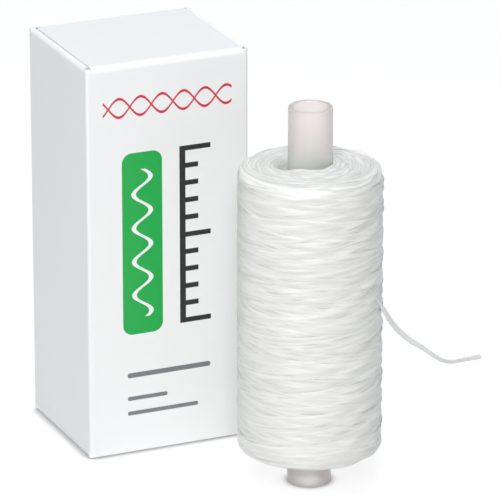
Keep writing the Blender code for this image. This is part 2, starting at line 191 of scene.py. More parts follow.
class CartonSettings(bpy.types.PropertyGroup):
    board_thickness: metres("Board thickness", "Thickness of the paperboard", 0.00045)
    corner_fold: metres("Corner fold", "Outside radius of the four upright folds", 0.0007)
    lid_fold: metres("Lid fold", "Outside radius of the fold that hinges a lid", 0.0014)
    tuck_fold: metres("Tuck fold", "Outside radius of a lid's tuck fold", 0.0006)
    dust_fold: metres("Dust flap fold", "Outside radius of a dust flap's fold", 0.0004)
    dust_sweep: metres("Dust flap sweep", "Outside radius where the fold leaves the wall", 0.0014)
    dust_lean: lean("Dust flap lean", "Lean of the board where its tighter fold begins", 40)
    dust_ridge: metres("Dust fold drop", "Dust flap's fold below the lid's face", 0.00005)
    dust_dip: lean("Dust flap dip", "Slope of the dust flap from its fold to below the lid", 60)
    fold_margin: metres("Fold margin", "Flat strip on each side of a fold", 0.0003)
    lid_inset: metres("Lid inset", "From the carton's side to the lid's edge", 0.0012)
    lid_flat_end: metres("Lid length", "From the hinge wall to the tuck fold", 0.0304)
    lid_corner: metres("Lid corner radius", "Rounding of the lid's free corners", 0.0007)
    tuck_inset: metres("Tuck inset", "From the carton's side to the tuck flap", 0.0014)
    tuck_length: metres("Tuck length", "Length of the tuck flap", 0.0105)
    tuck_corner: metres("Tuck corner radius", "Rounding of the tuck flap", 0.0045)
    tuck_tilt: lean("Tuck tilt", "Lean of the tuck flap into the carton", 12)
    dust_drop: metres("Dust flap drop", "Dust flap below the lid's outer face", 0.00050)
    dust_length: metres("Dust flap length", "Reach of a dust flap", 0.0132)
    glue_flap: metres("Glue flap", "Width of the glue flap", 0.0095)
    post_drop: metres("Corner top drop", "Corner folds below the upper lid's face", 0.0003)
    post_lift: metres("Foot lift", "Corners and front wall above the floor", 0.00028)
    rear_drop: metres("Rear wall drop", "Rear wall's edge below the lid's face", 0.0007)
    board: tint("Board", "Coated outer face of the board", (0.90, 0.90, 0.90))
    # Painted highlight on the side folds beside the lids, whiter than the board
    fold_highlight: tint("Highlighted board", "Coating stretched by a side fold", (1.0, 1.0, 1.0))
    inside: tint("Inside", "Uncoated inner face of the board", (0.80, 0.79, 0.76))
    cut_edge: tint("Cut edge", "Cut edge of the board", (0.86, 0.86, 0.85))
    glue: tint("Glue", "Dried glue of the side seam", (0.80, 0.77, 0.66))
    bar_ink: tint("Bar ink", "Ink of the tall bar", (0.004, 0.40, 0.065))
    wave_ink: tint("Wave ink", "Ink of the crossing waves", (0.66, 0.016, 0.050))
    scale_ink: tint("Scale ink", "Ink of the measuring scale", (0.022, 0.022, 0.024))
    line_ink: tint("Line ink", "Ink of the small lines", (0.20, 0.20, 0.21))


class SpoolSettings(bpy.types.PropertyGroup):
    tube_radius: metres("Tube radius", "Outside radius of the core tube", 0.00457)
    bore_radius: metres("Bore radius", "Radius of the core tube's bore", 0.00356)
    tube_length: metres("Tube length", "Length of the core tube", TUBE_HIGH.z)
    lip_radius: metres("Lip radius", "Rounding of the tube's ends", 0.00022)
    package_radius: metres("Package radius", "Radius of the wound floss", 0.0149)
    package_bottom: metres("Package bottom", "Lower rim of the floss", LAYERS_LOW.z + CROWN)
    package_top: metres("Package top", "Upper rim of the floss", LAYERS_HIGH.z - CROWN / 2)
    shoulder: metres("Shoulder", "Rounding of the package's upper end", 0.0022)
    low_shoulder: metres("Lower shoulder", "Rounding of the package's lower end", 0.0013)
    crown: metres("Crown", "Rise of the package's ends to the tube", CROWN)
    hollow: metres("Hollow", "Depth of the sunk place beside the tube", 0.0032)
    strand_width: metres("Strand width", "Width of the laid floss", 0.00060)
    strand_height: metres("Strand height", "Crown of the laid floss", 0.000032)
    loose_depth: metres("Loose depth", "Depth of the modelled windings", 0.00013)
    bundle_depth: metres("Bundle depth", "Depth of the broad soft waves", 0.00010)
    traverses: bpy.props.IntProperty(
        name="Traverses",
        description="Trips of the floss from one end of the package to the other",
        default=60,
        min=2,
    )
    turns_per_traverse: amount("Turns per traverse", "Turns round the package in one trip", 5.8)
    plastic: tint("Tube plastic", "Core tube", (1.0, 0.955, 0.940))
    # Painted reflection of the floss, greenish, on the tube near the package
    floss_reflection: tint("Painted haze", "Core tube where the floss has waxed it", (0.97, 1.0, 0.95))
    floss: tint("Floss", "Waxed floss", (0.822, 0.818, 0.786))
    # A darker copy of the floss: painted shade on the package's ends
    shaded_end_floss: tint("End floss", "Looser floss on the ends", (0.682, 0.678, 0.658))


class TailSettings(bpy.types.PropertyGroup):
    width: metres("Tail width", "Width of the loose floss", 0.00115)
    thickness: metres("Tail thickness", "Thickness of the loose floss", 0.00030)
    # A darker copy of the floss: painted shade, so the thin strand shows grey
    floss: tint("Loose floss", "A single strand, which lets light by", (0.66, 0.665, 0.665))


class StageSettings(bpy.types.PropertyGroup):
    floor_size: metres("Floor size", "Side of the floor", 8.0)
    floor: tint("Floor", "Colour of the floor", (0.84, 0.84, 0.84))
    floor_shade: tint("Floor shade", "Share that shows a shadow", (0.22, 0.22, 0.23))
    floor_lift: amount("Floor lift", "Light that the floor adds for the camera, to be white", 0.85)
    contact_reach: metres("Contact reach", "Width of the shade where pieces stand", 0.0030)
    contact_light: amount("Contact light", "Share of the lift that is left there", 0.36)
    sky: tint("Sky", "Colour of the light from all round", (0.86, 0.93, 1.0))
    sky_strength: amount("Sky strength", "Light from all round", 0.20)
    key: tint("Key light", "Colour of the main lamp", (1.0, 0.988, 0.972))
    key_power: amount("Key power", "Main lamp", 4.9, "POWER")
    key_size: metres("Key size", "Side of the main lamp", 0.35)
    top: tint("Top light", "Colour of the lamp overhead", (0.93, 0.962, 1.0))
    top_power: amount("Top power", "Lamp overhead", 5.1, "POWER")
    front_power: amount("Front power", "Low front lamp", 1.1, "POWER")
    soft_size: metres("Soft size", "Side of the other lamps", 0.50)
    camera_distance: metres("Camera distance", "From the camera to its target", 1.048)
    camera_lens: amount("Lens", "Focal length in millimetres", 360)


# Modelling by hand


def deselect_all():
    """Leaves edit mode, with nothing selected."""
    if bpy.context.mode != "OBJECT":
        bpy.ops.object.mode_set(mode="OBJECT")
    bpy.ops.object.select_all(action="DESELECT")


def make_active(piece):
    deselect_all()
    piece.select_set(True)
    bpy.context.view_layer.objects.active = piece


def add_plane(name, middle, size, turn=(0, 0, 0)):
    """A plane of that size, with its place in its mesh."""
    deselect_all()
    bpy.ops.mesh.primitive_plane_add(size=1, location=middle, rotation=turn)
    piece = bpy.context.object
    piece.name = name
    piece.data.name = name
    piece.scale = (size[0], size[1], 1)
    bpy.ops.object.transform_apply(location=True, rotation=True, scale=True)
    return piece


def edit(piece, kind, chosen):
    """Goes into edit mode with the points, edges or faces selected whose points all pass."""
    make_active(piece)
    bpy.ops.object.mode_set(mode="EDIT")
    bpy.ops.mesh.select_mode(type=kind)
    bpy.ops.mesh.select_all(action="DESELECT")
    bm = bmesh.from_edit_mesh(piece.data)
    found = 0
    for item in {"VERT": bm.verts, "EDGE": bm.edges, "FACE": bm.faces}[kind]:
        points = [item.co] if kind == "VERT" else [vert.co for vert in item.verts]
        if all(chosen(point) for point in points):
            item.select_set(True)
            found += 1
    if not found:
        raise RuntimeError(f"{piece.name}: nothing selected")
    bm.select_flush_mode()
    bmesh.update_edit_mesh(piece.data)


def near(value, wanted, reach=1e-6):
    return abs(value - wanted) < reach


def extrude(offset):
    bpy.ops.mesh.extrude_edges_move(TRANSFORM_OT_translate={"value": offset})


def fold(centre, axis, degrees, steps=8):
    """Bends the board on from the selected edge, right-handed about the axis."""
    bpy.ops.mesh.spin(steps=steps, angle=-math.radians(degrees), center=centre, axis=axis)


def draw_profile(piece, points):
    """Shrinks a new plane to a point, and draws a line on from it through points of x and z."""
    edit(piece, "VERT", lambda point: True)
    bpy.ops.mesh.merge(type="CENTER")
    for here, there in zip(points, points[1:]):
        offset = (there[0] - here[0], 0, there[1] - here[1])
        bpy.ops.mesh.extrude_vertices_move(TRANSFORM_OT_translate={"value": offset})


def apply_modifier(piece, kind, **settings):
    make_active(piece)
    modifier = piece.modifiers.new(kind.lower(), kind)
    for name, value in settings.items():
        setattr(modifier, name, value)
    bpy.ops.object.modifier_apply(modifier=modifier.name)


def smooth(piece, degrees=35):
    make_active(piece)
    bpy.ops.object.shade_smooth_by_angle(angle=math.radians(degrees))


def copy_piece(piece, name, matrix):
    """A copy with its own mesh, moved by the matrix, and turned right side out if mirrored."""
    made = piece.copy()
    made.data = piece.data.copy()
    made.name = name
    made.data.name = name
    bpy.context.scene.collection.objects.link(made)
    made.data.transform(matrix)
    if matrix.determinant() < 0:
        made.data.flip_normals()
    return made


# Nodes


def sign(operation, swapped=False):
    """The method behind one of Python's signs, for a signal and another value."""

    def reckon(self, other):
        values = (other, self) if swapped else (self, other)
        return self.wiring.math(operation, *values)

    return reckon


class Signal:
    """An output in a node tree. Python's own signs reckon with it."""

    def __init__(self, wiring, socket):
        self.wiring = wiring
        self.socket = socket

    def __abs__(self):
        return self.wiring.math("ABSOLUTE", self)

    __add__ = sign("ADD")
    __sub__ = sign("SUBTRACT")
    __rsub__ = sign("SUBTRACT", swapped=True)
    __mul__ = sign("MULTIPLY")
    __truediv__ = sign("DIVIDE")
    __pow__ = sign("POWER")
    __lt__ = sign("LESS_THAN")
    __gt__ = sign("GREATER_THAN")


def opaque(colour):
    """A colour with its alpha, or the signal that it is."""
    if isinstance(colour, Signal) or len(colour) == 4:
        return colour
    return (*colour, 1)


def label(name):
    """The name of a group's input as its socket shows it: half_width is Half Width."""
    return name.replace("_", " ").title()


class Wiring:
    """Adds nodes to one tree. A value may be a number, a tuple or a signal."""

    def __init__(self, tree):
        self.tree = tree

    def set(self, socket, value):
        if isinstance(value, Signal):
            self.tree.links.new(value.socket, socket)
        else:
            socket.default_value = value

    def node(self, kind, inputs=(), **settings):
        made = self.tree.nodes.new(kind)
        for name, value in settings.items():
            setattr(made, name, value)
        for name, value in dict(inputs).items():
            self.set(made.inputs[name], value)
        return made

    def out(self, kind, output, inputs=(), **settings):
        """The named output of a new node."""
        return Signal(self, self.node(kind, inputs, **settings).outputs[output])

    def math(self, operation, *values):
        return self.out("ShaderNodeMath", 0, enumerate(values), operation=operation)

    def mix(self, factor, first, second):
        inputs = {"Factor": factor, "A": opaque(first), "B": opaque(second)}
        return self.out("ShaderNodeMix", "Result", inputs, data_type="RGBA")

    def times(self, colour, factor):
        """A colour, made lighter or darker by a factor."""
        start = colour if isinstance(colour, Signal) else tuple(colour)
        inputs = {0: start, "Scale": factor}
        return self.out("ShaderNodeVectorMath", "Vector", inputs, operation="SCALE")

    def ramp(self, value, low, high, to_low=0.0, to_high=1.0):
        names = ("Value", "From Min", "From Max", "To Min", "To Max")
        inputs = zip(names, (value, low, high, to_low, to_high))
        return self.out("ShaderNodeMapRange", "Result", inputs, interpolation_type="SMOOTHSTEP")

    def noise(self, place, scale, detail, roughness=0.5):
        inputs = {"Vector": place, "Scale": scale, "Detail": detail, "Roughness": roughness}
        return self.out("ShaderNodeTexNoise", "Fac", inputs)

    def mapping(self, place, **inputs):
        return self.out("ShaderNodeMapping", "Vector", {"Vector": place, **inputs})

    def split(self, vector):
        outputs = self.node("ShaderNodeSeparateXYZ", {"Vector": vector}).outputs
        return [Signal(self, socket) for socket in outputs]

    def group(self, name, **values):
        """The outputs of a shared group that is placed with these values."""
        inputs = {label(value_name): value for value_name, value in values.items()}
        made = self.node("ShaderNodeGroup", inputs, node_tree=bpy.data.node_groups[name])
        return {socket.name: Signal(self, socket) for socket in made.outputs}

    def position(self):
        return self.out("ShaderNodeTexCoord", "Object")


class Finish(Wiring):
    """A new material, with its Principled shader's inputs."""

    def __init__(self, name, colour, roughness):
        self.material = bpy.data.materials.new(name)
        self.material.use_nodes = True
        self.material.diffuse_color = opaque(colour)
        super().__init__(self.material.node_tree)
        self.shader = self.tree.nodes["Principled BSDF"].inputs
        self.feed("Base Color", opaque(colour))
        self.feed("Roughness", roughness)

    def feed(self, name, value):
        self.set(self.shader[name], value)

    def bump(self, height, strength, distance):
        inputs = {"Strength": strength, "Distance": distance, "Height": height}
        self.feed("Normal", self.out("ShaderNodeBump", "Normal", inputs))


# Shared node groups. A group's flat coordinates are in millimetres


def new_group(name, outputs=("Mask",), **defaults):
    """A shader group's wiring, its inputs as signals and the sockets its outputs go to.

    Each input is given with its default value, or None where it is a vector.
    """
    group = bpy.data.node_groups.new(name, "ShaderNodeTree")
    for input_name, default in defaults.items():
        kind = "NodeSocketVector" if default is None else "NodeSocketFloat"
        made = group.interface.new_socket(label(input_name), in_out="INPUT", socket_type=kind)
        if default is not None:
            made.default_value = default
    for output_name in outputs:
        group.interface.new_socket(output_name, in_out="OUTPUT", socket_type="NodeSocketFloat")
    wiring = Wiring(group)
    sockets = wiring.node("NodeGroupInput").outputs
    given = {input_name: Signal(wiring, sockets[label(input_name)]) for input_name in defaults}
    return wiring, SimpleNamespace(**given), wiring.node("NodeGroupOutput").inputs


def rounded_bar_group():
    """Mask of a bar with round corners."""
    wiring, given, result = new_group(
        "rounded bar", across=0.0, up=0.0, middle_across=0.0, middle_up=0.0,
        half_width=1.0, half_height=1.0, corner_radius=0.5,
    )
    radius = given.corner_radius
    wide = abs(given.across - given.middle_across) - (given.half_width - radius)
    high = abs(given.up - given.middle_up) - (given.half_height - radius)
    squares = [wiring.math("MAXIMUM", part, 0.0) ** 2.0 for part in (wide, high)]
    corner = wiring.math("SQRT", squares[0] + squares[1])
    within = wiring.math("MINIMUM", wiring.math("MAXIMUM", wide, high), 0.0)
    wiring.set(result["Mask"], wiring.ramp(corner + within - radius, 0.03, -0.03))


def wave_line_group():
    """Mask of a line that swings from side to side, between two ends."""
    wiring, given, result = new_group(
        "wave line", along=0.0, across=0.0, middle=0.0, swing=1.0, wave_length=8.0, phase=0.0,
        half_width=0.4, start=0.0, stop=10.0,
    )
    angle = given.along / given.wave_length * (2 * math.pi) + given.phase
    line = given.middle + wiring.math("SINE", angle) * given.swing
    edge = abs(given.across - line) - given.half_width
    between = (given.along > given.start) * (given.along < given.stop)
    wiring.set(result["Mask"], wiring.ramp(edge, 0.04, -0.04) * between)


def measuring_scale_group():
    """Mask of an upright measuring scale, with a long tick for every five."""
    wiring, given, result = new_group(
        "measuring scale", across=0.0, up=0.0, left=0.0, bottom=0.0, top=10.0,
        tick_spacing=2.0, short_tick=3.0, long_tick=6.0, half_line=0.25,
    )
    half_line = given.half_line
    across, up = given.across - given.left, given.up - given.bottom
    count = up / given.tick_spacing
    index = wiring.math("ROUND", count)
    tick = abs(count - index) * given.tick_spacing < half_line
    fifth = wiring.math("MODULO", index, 5.0) < 0.5
    reach = given.short_tick + fifth * (given.long_tick - given.short_tick)
    spine = across < half_line * 2.4
    marks = wiring.math("MAXIMUM", tick * (across < reach), spine)
    inside = (across > 0.0) * (up + half_line > 0.0) * (given.up < given.top + half_line)
    wiring.set(result["Mask"], marks * inside)


def paper_grain_group():
    """Cloudy tone and fine fibre height of paperboard."""
    wiring, given, result = new_group(
        "paper grain", ("Tone", "Height"),
        position=None, cloud_scale=90.0, fibre_scale=2600.0, tone_change=0.02,
    )
    cloud = wiring.noise(given.position, given.cloud_scale, 3.0)
    wiring.set(result["Tone"], (cloud - 0.5) * given.tone_change + 1.0)
    wiring.set(result["Height"], wiring.noise(given.position, given.fibre_scale, 2.0))


def filament_group():
    """Fine filaments and broad bundles along a strand, from its own length and width."""
    wiring, given, result = new_group(
        "filaments", ("Shade", "Bundle"), along_and_across=None, filaments=9.0, stretch=0.08
    )
    along, across, _ = wiring.split(given.along_and_across)
    places = {"X": along * given.stretch, "Y": across * given.filaments}
    fine = wiring.noise(wiring.out("ShaderNodeCombineXYZ", "Vector", places), 1.0, 2.0, 0.6)
    wiring.set(result["Shade"], fine)
    slow = {"W": along * 0.035, "Scale": 1.0, "Detail": 1.0}
    bundle = wiring.out("ShaderNodeTexNoise", "Fac", slow, noise_dimensions="1D")
    wiring.set(result["Bundle"], bundle)


# Materials


def coated_board():
    """White coated board, with plain print on the carton's front, laid out in millimetres."""
    carton = bpy.context.scene.refill_carton
    board = Finish("coated board", carton.board, 0.34)
    position = board.position()
    corner = (-1000 * LEFT, -1000 * FRONT, 0)
    local = board.mapping(position, Location=corner, Scale=(1000, 1000, 1000))
    across, deep, up = board.split(local)

    def bar(left, right, low, high, corner_radius):
        return board.group(
            "rounded bar", across=across, up=up, corner_radius=corner_radius,
            middle_across=(left + right) / 2, middle_up=(low + high) / 2,
            half_width=(right - left) / 2, half_height=(high - low) / 2,
        )["Mask"]

    strand = board.group(
        "wave line", along=up, across=across, middle=12.2, swing=1.9, wave_length=7.4,
        half_width=0.52, start=30.2, stop=62.8,
    )["Mask"]
    waves = [
        board.group(
            "wave line", along=across, across=up, middle=76.6, swing=2.0, wave_length=9.6,
            phase=phase, half_width=0.30, start=3.6, stop=32.4,
        )["Mask"]
        for phase in (0.0, math.pi)
    ]
    ruler = board.group(
        "measuring scale", across=across, up=up, left=20.6, bottom=28.0, top=66.0,
        tick_spacing=3.8, short_tick=4.2, long_tick=7.0, half_line=0.55,
    )["Mask"]
    lines = bar(8.6, 27.4, 16.85, 17.95, 0.44)
    for right, low, high in ((17.6, 11.75, 12.65), (24.6, 8.45, 9.35)):
        lines = board.math("MAXIMUM", lines, bar(8.6, right, low, high, 0.36))
    front = deep < 0.2

    # Painted highlight: the board is whiter on the side folds beside the lids
    beside_lid = board.ramp(abs(across - 500 * (RIGHT - LEFT)), 16.92, 16.98)
    on_fold = board.ramp(abs(up - 500 * TOP), 41.75, 42.15)
    painted_highlight = board.mix(beside_lid * on_fold, carton.board, carton.fold_highlight)
    grain = board.group("paper grain", position=position)
    colour = board.times(painted_highlight, grain["Tone"])
    inked = 0.0
    for mask, ink in (
        (bar(7.7, 16.7, 26.5, 66.5, 2.2) * (1.0 - strand), carton.bar_ink),
        (board.math("MAXIMUM", *waves), carton.wave_ink),
        (ruler, carton.scale_ink),
        (lines, carton.line_ink),
    ):
        shown = mask * front
        colour = board.mix(shown, colour, ink)
        inked = board.math("MAXIMUM", inked, shown)
    board.feed("Base Color", colour)
    board.feed("Roughness", board.ramp(inked, 0.0, 1.0, 0.36, 0.28))
    board.bump(grain["Height"], 0.10, 0.00002)
    board.feed("Coat Weight", 0.12)
    board.feed("Coat Roughness", 0.25)


def plain_board(name, colour, roughness, bump_strength):
    """Uncoated board, for the inside or the cut edge."""
    board = Finish(name, colour, roughness)
    grain = board.group(
        "paper grain", position=board.position(),
        cloud_scale=300.0, fibre_scale=3200.0, tone_change=0.10,
    )
    board.feed("Base Color", board.times(colour, grain["Tone"]))
    board.bump(grain["Height"], bump_strength, 0.00004)


def tube_plastic():
    """Milky plastic letting some light through, faint extrusion lines, and a painted reflection of
    the floss.
    """
    spool = bpy.context.scene.refill_spool
    tube = Finish("milky tube plastic", spool.plastic, 0.30)
    position = tube.position()
    streaks = tube.noise(tube.mapping(position, Scale=(1400.0, 1400.0, 25.0)), 1.0, 2.0)
    up = tube.split(position)[2]
    top = spool.package_top
    # Painted reflection: the tube's colour turns greenish along the package and just above it
    clear_above = tube.ramp(up, top + REFLECTION_LOW, top + REFLECTION_HIGH, 1.0, 0.0)
    reflection = clear_above * tube.ramp(up, spool.package_bottom, top)
    plastic = tube.mix(reflection, spool.plastic, spool.floss_reflection)
    tube.feed("Base Color", tube.times(plastic, tube.ramp(streaks, 0.3, 0.7, 0.985, 1.01)))
    tube.feed("Roughness", tube.ramp(streaks, 0.3, 0.7, 0.32, 0.36))
    tube.bump(streaks, 0.04, 0.00001)
    tube.feed("Transmission Weight", 0.72)
    absorbed = {"Color": (0.93, 0.92, 0.90, 1), "Density": 10.0}
    inside = tube.out("ShaderNodeVolumeAbsorption", "Volume", absorbed)
    tube.set(tube.tree.nodes["Material Output"].inputs["Volume"], inside)


def painted_hollow_shade(floss, share):
    """Painted shade in the hollow beside the tube: the floss's tone, down to that share there."""
    spool = bpy.context.scene.refill_spool
    away = spool.tube_radius + SHADE_FROM_TUBE
    up = spool.package_top - SHADE_BELOW_RIM
    middle = SPOOL_AXIS + Vector(
        (math.cos(HOLLOW_ANGLE) * away, math.sin(HOLLOW_ANGLE) * away, up)
    )
    ends = {0: floss.position(), 1: tuple(middle)}
    distance = floss.out("ShaderNodeVectorMath", "Value", ends, operation="DISTANCE")
    return floss.ramp(distance, SHADE_NEAR, SHADE_FAR, share, 1.0)


def waxed_floss(name, colour, sunk=1.0):
    """Waxed floss on its own length and width coordinates."""
    floss = Finish(name, colour, 0.40)
    own = floss.out("ShaderNodeUVMap", "UV", uv_map="strand")
    filaments = floss.group("filaments", along_and_across=own)
    shade = filaments["Shade"]
    broad = floss.ramp(filaments["Bundle"], 0.3, 0.7, 0.93, 1.05)
    # The filaments' tone follows their bump: random tone, with painted shade in their grooves
    tone = floss.ramp(shade, 0.25, 0.75, 0.96, 1.03) * broad
    # The sunk share darkens the floss in the hollow beside the tube: painted shade
    if sunk < 1.0:
        tone = tone * painted_hollow_shade(floss, sunk)
    floss.feed("Base Color", floss.times(colour, tone))
    floss.feed("Roughness", floss.ramp(shade, 0.25, 0.75, 0.42, 0.32))
    floss.bump(shade, 0.35, 0.00003)
    floss.feed("Specular IOR Level", 1.0)


def packed_floss():
    """The dense floss below the loose windings, with crossing lines round the package."""
    spool = bpy.context.scene.refill_spool
    floss = Finish("packed floss", spool.floss, 0.5)
    local = floss.mapping(floss.position(), Location=tuple(-SPOOL_AXIS))
    east, north, up = floss.split(local)
    angle = floss.math("ARCTAN2", north, east)
    radius = floss.math("SQRT", east**2.0 + north**2.0)
    run = (up - radius) * (2 * math.pi / RIDGE_PITCH)
    slants = (RIDGES_PER_TURN, -RIDGES_PER_TURN)
    ridges = [abs(floss.math("SINE", (run + angle * slant) / 2.0)) for slant in slants]
    height = floss.math("MAXIMUM", *ridges)
    # Painted shade: the floss is darker in the grooves between the ridges, and in the hollow
    # beside the tube
    tone = floss.ramp(height, 0.2, 1.0, 0.95, 1.0) * painted_hollow_shade(floss, 0.62)
    floss.feed("Base Color", floss.times(spool.floss, tone))
    floss.bump(height, 0.4, 0.00008)


def seam_glue():
    """Dried glue, cloudy and slightly yellow."""
    colour = bpy.context.scene.refill_carton.glue
    glue = Finish("dried glue", colour, 0.45)
    cloud = glue.noise(glue.position(), 900.0, 3.0)
    glue.feed("Base Color", glue.times(colour, glue.ramp(cloud, 0.3, 0.7, 0.88, 1.04)))
    glue.bump(cloud, 0.4, 0.00008)


class REFILL_OT_materials(bpy.types.Operator):
    """Make the shared node groups and the materials"""

    bl_idname = "refill.materials"
    bl_label = "Materials"

    def execute(self, context):
        carton, spool = context.scene.refill_carton, context.scene.refill_spool
        rounded_bar_group()
        wave_line_group()
        measuring_scale_group()
        paper_grain_group()
        filament_group()
        coated_board()
        plain_board("board inside", carton.inside, 0.75, 0.35)
        plain_board("board edge", carton.cut_edge, 0.85, 0.5)
        tube_plastic()
        waxed_floss("waxed floss", spool.floss)
        # Painted shade in the hollow darkens the end floss there to 0.76
        waxed_floss("end floss", spool.shaded_end_floss, 0.76)
        waxed_floss("loose floss", context.scene.refill_tail.floss)
        packed_floss()
        seam_glue()
        return {"FINISHED"}


# Board


def face_outward(piece, outward):
    """Turns the piece's faces so that the largest one square to outward looks that way."""
    edit(piece, "FACE", lambda point: True)
    bpy.ops.mesh.remove_doubles(threshold=1e-6)
    bpy.ops.mesh.normals_make_consistent(inside=False)
    bm = bmesh.from_edit_mesh(piece.data)
    way = Vector(outward)
    largest = max(bm.faces, key=lambda face: face.calc_area() * abs(face.normal.dot(way)))
    if largest.normal.dot(way) < 0:
        bpy.ops.mesh.flip_normals()


def finish_board(piece, outward):
    """Gives the outer face its thickness, inwards, and its three finishes."""
    for name in ("coated board", "board inside", "board edge"):
        piece.data.materials.append(bpy.data.materials[name])
    face_outward(piece, outward)
    apply_modifier(
        piece,
        "SOLIDIFY",
        thickness=bpy.context.scene.refill_carton.board_thickness,
        offset=-1,
        use_even_offset=True,
        material_offset=1,
        material_offset_rim=2,
    )
    smooth(piece)
    apply_modifier(piece, "WEIGHTED_NORMAL", keep_sharp=True)


def part_name(body, part):
    """Names a piece for its body: top_lid has top_lid_fold, top_tuck_flap has top_tuck_fold."""
    return body.replace("flap", part) if "flap" in body else f"{body}_{part}"


def hang(crease, panel, start, end, places):
    """Puts a panel on its body, its fold left loose, with a copy for each place after the first.

    A place has its body, that body's parent, which is not used, and the matrix that leads there.
    Start and end are moved by that matrix, and the results are not used.
    """
    made = [(crease, panel)]
    for body, _, change in places[1:]:
        pair = ((crease, "fold"), (panel, "panel"))
        made.append([copy_piece(piece, part_name(body, part), change) for piece, part in pair])
    for (body, parent, change), (own_crease, own_panel) in zip(places, made):
        change @ start
        change @ end
        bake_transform(own_crease)
        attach(own_panel, body)
        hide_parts(body)


class REFILL_OT_sleeve(bpy.types.Operator):
    """Fold the carton's four walls and the glue flap from one strip of board"""

    bl_idname = "refill.sleeve"
    bl_label = "Sleeve"

    def execute(self, context):
        carton = context.scene.refill_carton
        corner = carton.corner_fold
        crease = carton.lid_inset
        low = carton.lid_fold + carton.fold_margin
        high = TOP - low
        seam_y = BACK - SEAM_START
        seam_x = LEFT + carton.board_thickness + SEAM_GAP
        far_y = BACK - crease
        middle = (LEFT, (seam_y + far_y) / 2, (low + high) / 2)
        size = (high - low, seam_y - far_y)
        sleeve = add_plane("sleeve", middle, size, (0, math.pi / 2, 0))

        # Each wall's way and length, and the corner it ends at
        side = far_y - FRONT - crease
        walls = (
            ((0, -1, 0), side, (LEFT + corner, FRONT + corner, 0)),
            ((1, 0, 0), RIGHT - LEFT - 2 * crease, (RIGHT - corner, FRONT + corner, 0)),
            ((0, 1, 0), side, (RIGHT - corner, BACK - corner, 0)),
            ((-1, 0, 0), RIGHT - seam_x - 2 * crease, (seam_x + corner, BACK - corner, 0)),
        )
        relief = crease - corner
        edit(sleeve, "EDGE", lambda point: near(point.y, far_y))
        for number, (way, length, centre) in enumerate(walls):
            for step in (relief, length, relief) if number else (length, relief):
                extrude(Vector(way) * step)
            fold(centre, (0, 0, 1), 90)
        extrude((0, corner - carton.glue_flap, 0))

        def on_wall(y, z):
            half = (RIGHT - LEFT) / 2 - crease + 1e-6
            return lambda point: (
                near(point.z, z) and near(point.y, y) and near(point.x, MIDDLE.x, half)
            )

        def at_corner(x, y, z):
            reach = crease + 1e-6
            if x == LEFT and y == BACK:
                reach += seam_x - LEFT
            return lambda point: (
                near(point.z, z) and near(point.x, x, reach) and near(point.y, y, reach)
            )

        rises = [
            (on_wall(BACK, high), TOP - carton.rear_drop - high),
            (on_wall(FRONT, low), carton.post_lift - low),
        ]
        for x in (LEFT, RIGHT):
            for y in (FRONT, BACK):
                rises.append((at_corner(x, y, high), TOP - carton.post_drop - high))
                rises.append((at_corner(x, y, low), carton.post_lift - low))
        for test, rise in rises:
            edit(sleeve, "EDGE", test)
            extrude((0, 0, rise))

        finish_board(sleeve, (0, -1, 0))
        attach(sleeve, "carton")
        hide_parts("carton_sleeve")
        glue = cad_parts["side_seam_glue"]
        glue.data.materials.clear()
        glue.data.materials.append(bpy.data.materials["dried glue"])
        return {"FINISHED"}


class REFILL_OT_lids(bpy.types.Operator):
    """Make the two lids with the folds that hinge them"""

    bl_idname = "refill.lids"
    bl_label = "Lids and their folds"

    def execute(self, context):
        carton = context.scene.refill_carton
        radius, margin = carton.lid_fold, carton.fold_margin
        width = RIGHT - LEFT - 2 * carton.lid_inset
        wall_top = TOP - radius
        middle = (MIDDLE.x, FRONT, wall_top - margin / 2)
        crease = add_plane("top_lid_fold", middle, (width, margin), (math.pi / 2, 0, 0))
        edit(crease, "EDGE", lambda point: near(point.z, wall_top))
        fold((0, FRONT + radius, wall_top), (1, 0, 0), -90, 10)
        extrude((0, margin, 0))
        finish_board(crease, (0, -1, 0))

        lid_start = FRONT + radius + margin
        lid_end = FRONT + carton.lid_flat_end - margin
        middle = (MIDDLE.x, (lid_start + lid_end) / 2, TOP)
        lid = add_plane("top_lid_panel", middle, (width, lid_end - lid_start))
        edit(lid, "VERT", lambda point: near(point.y, lid_end))
        bpy.ops.mesh.bevel(affect="VERTICES", offset=carton.lid_corner, segments=5)
        finish_board(lid, (0, 0, 1))

        start = Vector((MIDDLE.x, FRONT, wall_top))
        end = Vector((MIDDLE.x, FRONT + radius, TOP))
        hang(crease, lid, start, end, [(f"{name}_lid", "carton", way) for name, way in ENDS])
        return {"FINISHED"}


